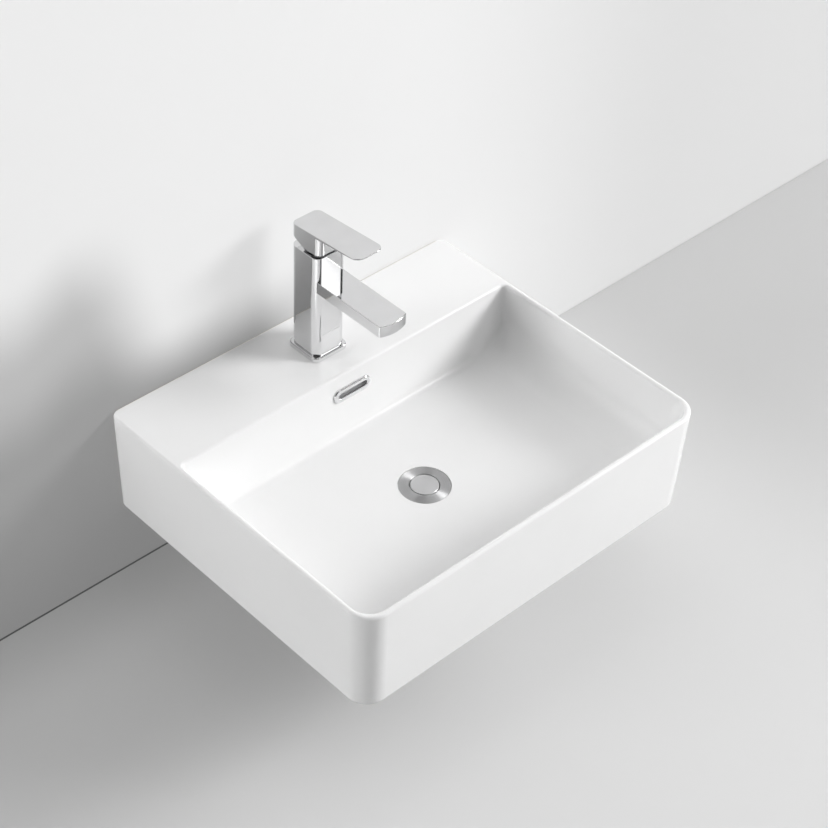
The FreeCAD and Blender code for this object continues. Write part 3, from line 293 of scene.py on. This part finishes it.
def thread_cutter(name, across, steps, pitch, crest, depth, low, high):
    """A three-sided bar spun up round an upright axis, which runs out in its last turn."""
    half = THREAD_FULL * pitch / 2 * (depth + THREAD_PAST) / depth
    past = crest + THREAD_PAST
    count = math.ceil((high - low) / pitch * steps)
    top = low + pitch * count / steps
    section = ((crest - depth, low), (past, low - half), (past, low + half))
    form = bmesh.new()
    form.faces.new([form.verts.new((radius, across, height)) for radius, height in section])
    bmesh.ops.spin(form, geom=form.verts[:] + form.edges[:] + form.faces[:], steps=count,
                   cent=(0, across, 0), axis=(0, 0, 1), dvec=(0, 0, pitch / steps),
                   angle=2 * math.pi * count / steps)
    for corner in form.verts:
        radius = math.hypot(corner.co.x, corner.co.y - across)
        if radius < crest:
            root = crest - depth * min(1, (top - corner.co.z) / pitch)
            corner.co.x *= root / radius
            corner.co.y = across + (corner.co.y - across) * root / radius
    bmesh.ops.recalc_face_normals(form, faces=form.faces)
    return add_object(name, mesh_from(name, form))


def threaded(name, node, steps, pitch, crest, depth, low, high):
    """Stands for a round CAD piece: a welded copy of it with a thread cut in."""
    cutter = thread_cutter(name + "_cutter", axis_y(node), steps, pitch, crest, depth, low, high)
    made = add_object(name, nodes[node].data.copy())
    form = bmesh.new()
    form.from_mesh(made.data)
    bmesh.ops.remove_doubles(form, verts=form.verts, dist=WELD)
    form.to_mesh(made.data)
    form.free()
    cut = made.modifiers.new("thread", "BOOLEAN")
    cut.operation = "DIFFERENCE"
    cut.solver = "EXACT"
    cut.object = cutter
    bpy.context.view_layer.update()
    graph = bpy.context.evaluated_depsgraph_get()
    made.data = bpy.data.meshes.new_from_object(made.evaluated_get(graph))
    made.modifiers.clear()
    bpy.data.objects.remove(cutter)
    made.data.shade_smooth()
    made.data.set_sharp_from_angle(angle=THREAD_SHARP)
    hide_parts(node)
    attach(made, "basin")


dress(brushed_round("brushed_flange", BRUSHED, BRUSHED_DARK, roughness=0.56, streak=0.93),
      "waste_body")
dress(brushed_round("satin_cap", CAP_SATIN, CAP_SATIN_DARK, roughness=0.40, streak=0.4),
      "waste_plug")
tail_low, tail_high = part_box("waste_body")
threaded("waste_body_threaded", "waste_body", TAIL_STEPS, TAIL_PITCH,
         TAIL_CREST, TAIL_THREAD_DEPTH, tail_low[2] + TAIL_LEAD, tail_high[2] - TAIL_NECK)

rubber = worked_finish("black_rubber_moulded", RUBBER, metal=0.0, roughness=0.8,
                       sheen=(0.68, 0.88), patches=(500.0, 3.0), grit=(900.0, 2.0),
                       depth=0.00003)
dress(rubber, "flange_gasket", "cone_gasket", "plug_seal")

resin = worked_finish("white_resin_moulded", RESIN, metal=0.0, roughness=0.45,
                      sheen=(0.38, 0.52), patches=RESIN_PATCHES, grit=RESIN_GRIT,
                      depth=RESIN_DEPTH)
dress(resin, "slip_washer", "click_rotor", "click_barrel")

steel = worked_finish("drawn_steel", STEEL, metal=1.0, roughness=0.28,
                      sheen=(0.22, 0.36), patches=(1400.0, 2.0, DRAWN),
                      grit=(1800.0, 2.0, DRAWN), depth=0.000006)
dress(steel, "click_stem", "click_spring")

brass = worked_finish("machined_brass", BRASS, metal=1.0, roughness=0.25,
                      sheen=(0.2, 0.38), patches=(300.0, 3.0), grit=(1500.0, 1.0, TURNED),
                      depth=0.000008, dull=BRASS_DULL, blotches=(60.0, 4.0))
dress(brass, "waste_nut")


# Mixer body, its foot and what holds it down
# The body and spout are one brass casting, polished and chromed. It stands on a plated
# foot plate with a rubber ring, and a stud, a horseshoe and a nut clamp it from below.

STUD_STEPS = 20
STUD_PITCH = 0.00125
STUD_CREST = 0.0039
STUD_THREAD_DEPTH = 0.0007

dress(chrome, "mixer_body", "base_plate", "aerator_housing")
dress(rubber, "base_seal", "horseshoe_gasket", "aerator_seal")
dress(brass, "fixing_nut", "fixing_stud")
dress(steel, "horseshoe_washer")
dress(resin, "aerator_core")

stud_low, stud_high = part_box("fixing_stud")
threaded("fixing_stud_threaded", "fixing_stud", STUD_STEPS, STUD_PITCH,
         STUD_CREST, STUD_THREAD_DEPTH, stud_low[2] - STUD_PITCH, stud_high[2] + STUD_PITCH)


# Cartridge
# A white plastic cup holds two lapped ceramic discs, the carrier that slides the upper
# one, and the grey turret and steel stem that the lever turns and rocks.

LAPPED = (0.80, 0.77, 0.71, 1)
GREY_RESIN = (0.10, 0.105, 0.11, 1)

dress(rubber, "port_seals")
dress(resin, "cartridge_base", "disc_carrier", "cartridge_housing")
dress(brass, "cartridge_nut")
dress(steel, "stem_pin", "cartridge_stem")

lapped = worked_finish("lapped_ceramic", LAPPED, metal=0.0, roughness=0.3,
                       sheen=(0.24, 0.4), patches=(400.0, 3.0), grit=(1200.0, 2.0),
                       depth=0.000004)
dress(lapped, "fixed_disc", "moving_disc")

grey_resin = worked_finish("grey_resin_moulded", GREY_RESIN, metal=0.0, roughness=0.5,
                           sheen=(0.42, 0.58), patches=RESIN_PATCHES, grit=RESIN_GRIT,
                           depth=RESIN_DEPTH)
dress(grey_resin, "turret")


# Dome and lever
# A chrome dome closes the gap under the lever. Its chrome is darkened as painted shade for that
# gap, where it shows as a dark line. The lever is one chromed zinc casting, gripped by a small
# screw at its back under a grey cap.

# Chrome darkened as painted shade for the gap under the lever.
GAP_SHADE_CHROME = (0.30, 0.30, 0.305, 1)

gap_shade_finish = worked_finish("chrome_darkened_for_gap_shade", GAP_SHADE_CHROME, metal=1.0, roughness=0.06,
                       sheen=(0.05, 0.08), patches=(90.0, 5.0), grit=CHROME_GRIT,
                       depth=CHROME_DEPTH)
# The dome takes the darkened chrome: painted shade in the gap under the lever.
dress(gap_shade_finish, "dome_cover")
dress(chrome, "lever")
dress(steel, "lever_screw")
dress(grey_resin, "screw_cap")


# Wall and floor
# A pale wall behind the basin and a pale floor below it, each a painted board. The shade
# that deepens to the left is in the paint, for the camera and for mirrors alone. A board
# is clear from behind and to what touches it, and casts no shadow.

FLOOR_Z = -0.179
WALL_Y = 0.0008
ROOM_REACH = 6.0
TOUCHING = 0.003
WALL_PAINT = (0.865, 0.865, 0.865, 1)
WALL_SHADED = (0.32, 0.32, 0.32, 1)
FLOOR_PAINT = (0.70, 0.70, 0.70, 1)
FLOOR_SHADED = (0.40, 0.40, 0.40, 1)
# Painted shade in the corner where the wall meets the floor, dark only where the wall's painted
# shade is deep.
CORNER_SHADE_DARK = (0.10, 0.10, 0.10, 1)
CORNER_SHADE_HIGH = 0.003
CORNER_SHADE_PROUD = 0.0004
PAINT_ROUGHNESS = 0.8
PAINT_GRIT = (400.0, 2.0)
PAINT_DEPTH = 0.00002
WALL_GLOW = 0.62
FLOOR_GLOW = 0.4
MIRROR_SHIFT = 0.18
MIRROR_DIM = 0.12
SHADE_FAR = (-5.0, -2.0)
WALL_LIFT = (-0.28, -0.36, 0.0, 0.03)
WALL_HIGH = (0.33, 0.20, 0.0, 0.62)
WALL_MIDDLE = (0.20, 0.08, 0.0, 0.31)
WALL_FOOT = (0.06, -0.15, 0.0, 0.07)
WALL_RIGHT = (0.15, 0.7, 0.0, 0.3)
BEHIND_UP = (0.15, 0.04)
BEHIND_ALONG = (0.09, -0.05)
SHADE_SLANT = 0.25
SHADE_TURN = (-0.12, -0.23)
FLOOR_WIDE = (-0.50, -0.20, 0.0, 0.72)
FLOOR_CLOSE = (-0.12, 0.0, 0.0, 0.25)
FLOOR_LEFT = (0.05, -0.15)
FLOOR_RIGHT = (0.25, 0.6)
FLOOR_RIGHT_DEEP = (-0.8, -0.2, 0.0, 0.55)
MIX_SHADERS = (1, 2)


def sum_up(tree, operation, first, second):
    """One sum on two values, each a socket or a number."""
    made = tree.nodes.new("ShaderNodeMath")
    made.operation = operation
    for socket, term in enumerate((first, second)):
        if isinstance(term, float):
            made.inputs[socket].default_value = term
        else:
            tree.links.new(term, made.inputs[socket])
    return made.outputs["Value"]


def ramp(tree, value, start, end, low=0.0, high=1.0):
    """A smooth climb from low to high as a value goes from start to end."""
    return climb(tree, value, start, end, low, high, "SMOOTHSTEP")


def wall_shade(tree, along, deep, up):
    """How far the wall is in shade: high at the left, low behind the ledge, faint far right."""
    lifted = sum_up(tree, "ADD", up, ramp(tree, along, *WALL_LIFT))
    left = sum_up(tree, "ADD", ramp(tree, lifted, *WALL_HIGH), ramp(tree, lifted, *WALL_MIDDLE))
    left = sum_up(tree, "ADD", left, ramp(tree, lifted, *WALL_FOOT))
    low = sum_up(tree, "MULTIPLY", ramp(tree, up, *BEHIND_UP), ramp(tree, along, *BEHIND_ALONG))
    low = sum_up(tree, "MAXIMUM", low, ramp(tree, along, *WALL_RIGHT))
    slant = sum_up(tree, "ADD", along, sum_up(tree, "MULTIPLY", up, SHADE_SLANT))
    turn = ramp(tree, slant, *SHADE_TURN)
    rise = sum_up(tree, "MULTIPLY", turn, sum_up(tree, "SUBTRACT", left, low))
    return sum_up(tree, "ADD", low, rise)


def floor_shade(tree, along, deep, up):
    """How far the floor is in shade: under the wall's shade, and a little at the far right."""
    left = sum_up(tree, "ADD", ramp(tree, deep, *FLOOR_WIDE), ramp(tree, deep, *FLOOR_CLOSE))
    left = sum_up(tree, "MULTIPLY", ramp(tree, along, *FLOOR_LEFT), left)
    right = sum_up(tree, "MULTIPLY", ramp(tree, along, *FLOOR_RIGHT),
                   ramp(tree, deep, *FLOOR_RIGHT_DEEP))
    return sum_up(tree, "MAXIMUM", left, right)


def blend_shaders(tree, amount, first, second):
    """Two shaders, mixed by an amount from 0 to 1."""
    mix = tree.nodes.new("ShaderNodeMixShader")
    tree.links.new(amount, mix.inputs["Fac"])
    for socket, shader in zip(MIX_SHADERS, (first, second)):
        tree.links.new(shader, mix.inputs[socket])
    return mix.outputs["Shader"]


def one_sided_paint(name, lit, shaded, shade, own_glow):
    """Matt paint with a share of its own glow, and its shade moved aside for mirrors."""
    paint, tree, shader = new_finish(name, lit, metal=0.0, roughness=PAINT_ROUGHNESS)
    axes = object_axes(tree)
    path = tree.nodes.new("ShaderNodeLightPath")
    mirrored = path.outputs["Is Glossy Ray"]
    along = sum_up(tree, "SUBTRACT", axes["X"], sum_up(tree, "MULTIPLY", mirrored, MIRROR_SHIFT))
    seen = sum_up(tree, "MAXIMUM", path.outputs["Is Camera Ray"], mirrored)
    amount = shade(tree, along, axes["Y"], axes["Z"])
    amount = sum_up(tree, "MULTIPLY", amount, ramp(tree, axes["X"], *SHADE_FAR))
    amount = sum_up(tree, "MULTIPLY", amount, seen)
    colour = blend_colours(tree, amount, lit, shaded)
    tree.links.new(colour, shader.inputs["Base Color"])
    tree.links.new(relief(tree, grain(tree, *PAINT_GRIT), PAINT_DEPTH), shader.inputs["Normal"])
    glow = tree.nodes.new("ShaderNodeEmission")
    tree.links.new(colour, glow.inputs["Color"])
    dimmed = sum_up(tree, "MULTIPLY", mirrored, MIRROR_DIM)
    tree.links.new(sum_up(tree, "SUBTRACT", 1.0, dimmed), glow.inputs["Strength"])
    painted = blend_shaders(tree, sum_up(tree, "MULTIPLY", seen, own_glow),
                            shader.outputs["BSDF"], glow.outputs["Emission"])
    side = tree.nodes.new("ShaderNodeNewGeometry")
    near = sum_up(tree, "LESS_THAN", path.outputs["Ray Length"], TOUCHING)
    clear = tree.nodes.new("ShaderNodeBsdfTransparent")
    surface = blend_shaders(tree, sum_up(tree, "MAXIMUM", near, side.outputs["Backfacing"]),
                            painted, clear.outputs["BSDF"])
    tree.links.new(surface, tree.nodes["Material Output"].inputs["Surface"])
    return paint


def board(name, corners, paint):
    """One flat board of the room, facing the side its corners run anticlockwise from."""
    form = bmesh.new()
    form.faces.new([form.verts.new(corner) for corner in corners])
    made = add_object(name, mesh_from(name, form))
    made.data.materials.append(paint)
    made.visible_shadow = False


def upright(y, low, high):
    """The corners of a strip of wall between two heights, seen from the front."""
    return [(-ROOM_REACH, y, low), (ROOM_REACH, y, low),
            (ROOM_REACH, y, high), (-ROOM_REACH, y, high)]


board("room_wall", upright(WALL_Y, FLOOR_Z, ROOM_REACH),
      one_sided_paint("wall_paint", WALL_PAINT, WALL_SHADED, wall_shade, WALL_GLOW))
# A low strip at the foot of the wall carries painted shade along its corner with the floor.
board("room_corner_shade_strip", upright(WALL_Y - CORNER_SHADE_PROUD, FLOOR_Z, FLOOR_Z + CORNER_SHADE_HIGH),
      one_sided_paint("corner_shade_paint", WALL_PAINT, CORNER_SHADE_DARK, wall_shade, WALL_GLOW))
board("room_floor", [(-ROOM_REACH, -ROOM_REACH, FLOOR_Z), (ROOM_REACH, -ROOM_REACH, FLOOR_Z),
                     (ROOM_REACH, ROOM_REACH, FLOOR_Z), (-ROOM_REACH, ROOM_REACH, FLOOR_Z)],
      one_sided_paint("floor_paint", FLOOR_PAINT, FLOOR_SHADED, floor_shade, FLOOR_GLOW))


# Light
# Soft round lamps: two at the right, a weak one in front, one above, one at the left past
# the wall's plane, and one behind the wall for the back alone. The room glows faintly,
# and brightly where the camera sees past the boards.

LAMPS = (
    ("lamp_right", (3.65, -3.15, 2.25), 2.6, 220),
    ("lamp_high_right", (1.32, -2.25, 2.45), 1.6, 9),
    ("lamp_front", (0.6, -2.6, 1.4), 2.0, 2),
    ("lamp_above", (0.2, -1.2, 2.8), 2.4, 9),
    ("lamp_left", (-2.6, 0.9, 0.6), 1.2, 29),
    ("lamp_behind", (1.6, 2.4, -0.3), 1.5, 30),
)
LAMP_AIM = Vector((0, -0.2, 0))
LAMP_MIDDLE = (0.5, 0.5, 0.0)
LAMP_EDGE = 0.5
LAMP_CORE = 0.4
LAMP_SHARE = 0.51
ROOM_GLOW = 0.12
ROOM_SHINE = 0.06
ROOM_SEEN = 0.8


def soft_lamp(name, place, width, power):
    """A round lamp aimed at the middle of the basin, whose cloth dims towards its edge."""
    lamp = bpy.data.lights.new(name, "AREA")
    lamp.shape = "DISK"
    lamp.size = width
    lamp.energy = power / LAMP_SHARE
    lamp.use_nodes = True
    tree = lamp.node_tree
    spot = tree.nodes.new("ShaderNodeNewGeometry")
    centred = tree.nodes.new("ShaderNodeVectorMath")
    centred.operation = "SUBTRACT"
    centred.inputs[1].default_value = LAMP_MIDDLE
    tree.links.new(spot.outputs["Parametric"], centred.inputs[0])
    away = tree.nodes.new("ShaderNodeVectorMath")
    away.operation = "LENGTH"
    tree.links.new(centred.outputs["Vector"], away.inputs[0])
    tree.links.new(ramp(tree, away.outputs["Value"], LAMP_EDGE, LAMP_EDGE * LAMP_CORE),
                   tree.nodes["Emission"].inputs["Strength"])
    made = add_object(name, lamp)
    made.location = place
    made.rotation_mode = "QUATERNION"
    made.rotation_quaternion = (LAMP_AIM - Vector(place)).to_track_quat("-Z", "Y")


for lamp in LAMPS:
    soft_lamp(*lamp)

world = bpy.data.worlds.new("room")
scene.world = world
world.use_nodes = True
tree = world.node_tree
path = tree.nodes.new("ShaderNodeLightPath")
shine = sum_up(tree, "MULTIPLY", path.outputs["Is Glossy Ray"], ROOM_SHINE - ROOM_GLOW)
seen = sum_up(tree, "MULTIPLY", path.outputs["Is Camera Ray"], ROOM_SEEN - ROOM_GLOW)
strength = sum_up(tree, "ADD", sum_up(tree, "ADD", ROOM_GLOW, shine), seen)
tree.links.new(strength, tree.nodes["Background"].inputs["Strength"])
tree.nodes["Background"].inputs["Color"].default_value = (1, 1, 1, 1)


# Camera
# The photograph looks down on the basin from its front left corner, through a long lens.
# The angles, the distance and the lens come from the basin's straight edges.

VIEW_AZIMUTH = math.radians(-44.786)
VIEW_ELEVATION = math.radians(41.197)
VIEW_ROLL = math.radians(2.761)
VIEW_FROM = Vector((-1.22296, -1.45141, 1.58741))
VIEW_LENS = 91.417
VIEW_NEAR = 0.05
VIEW_FAR = 50
SENSOR = 36.0


def look_matrix(azimuth, elevation, roll, place):
    """The camera's axes: azimuth 0 looks along +Y, and elevation looks down."""
    ahead = Vector((-math.sin(azimuth) * math.cos(elevation),
                    math.cos(azimuth) * math.cos(elevation), -math.sin(elevation)))
    level = Vector((math.cos(azimuth), math.sin(azimuth), 0))
    above = level.cross(ahead)
    right = math.cos(roll) * level + math.sin(roll) * above
    up = math.cos(roll) * above - math.sin(roll) * level
    turn = Matrix((right, up, -ahead)).transposed().to_4x4()
    return Matrix.Translation(place) @ turn


lens = bpy.data.cameras.new("view")
lens.lens = VIEW_LENS
lens.sensor_width = SENSOR
lens.clip_start = VIEW_NEAR
lens.clip_end = VIEW_FAR
viewer = add_object("view", lens)
viewer.matrix_world = look_matrix(VIEW_AZIMUTH, VIEW_ELEVATION, VIEW_ROLL, VIEW_FROM)
scene.camera = viewer
scene.view_settings.view_transform = "Standard"
